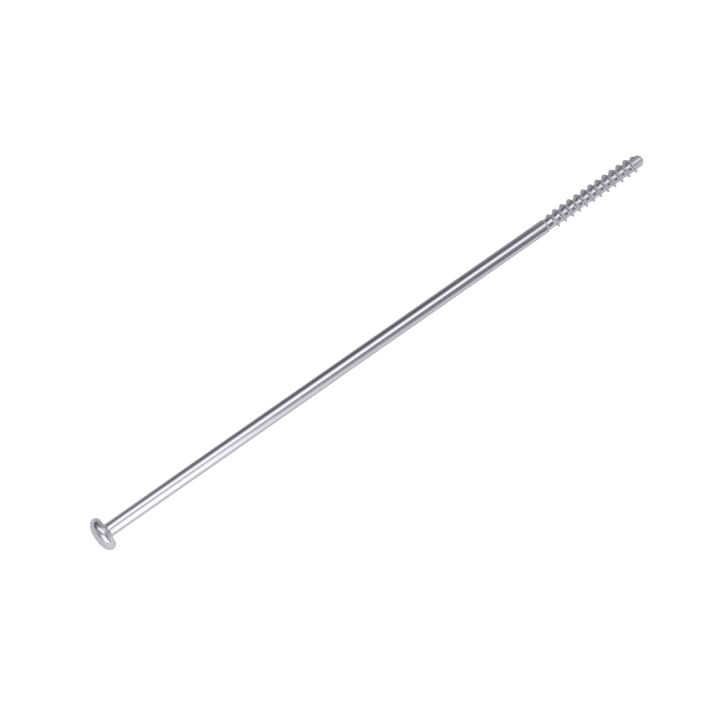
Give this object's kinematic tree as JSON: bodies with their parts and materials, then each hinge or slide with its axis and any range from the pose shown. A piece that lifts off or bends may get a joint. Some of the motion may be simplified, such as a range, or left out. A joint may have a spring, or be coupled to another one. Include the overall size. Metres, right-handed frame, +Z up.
{
  "type": "screw",
  "caption": "Long bright zinc-plated steel screw with a low domed head and cross recess, a smooth shank, and a short coarse right-hand thread that ends in a blunt rounded tip.",
  "frame": {"origin": "on the surface that the screw lies on, under the middle of its box", "axes": "+Z up, +X along the screw from its head towards its tip, +Y across it"},
  "size_m": [0.225, 0.012, 0.012],
  "materials": {
    "zinc_steel": "bright zinc plating, smooth, with faint lengthwise drawing marks on the shank"
  },
  "bodies": {
    "root": {"screw": "zinc_steel"}
  },
  "joints": []
}
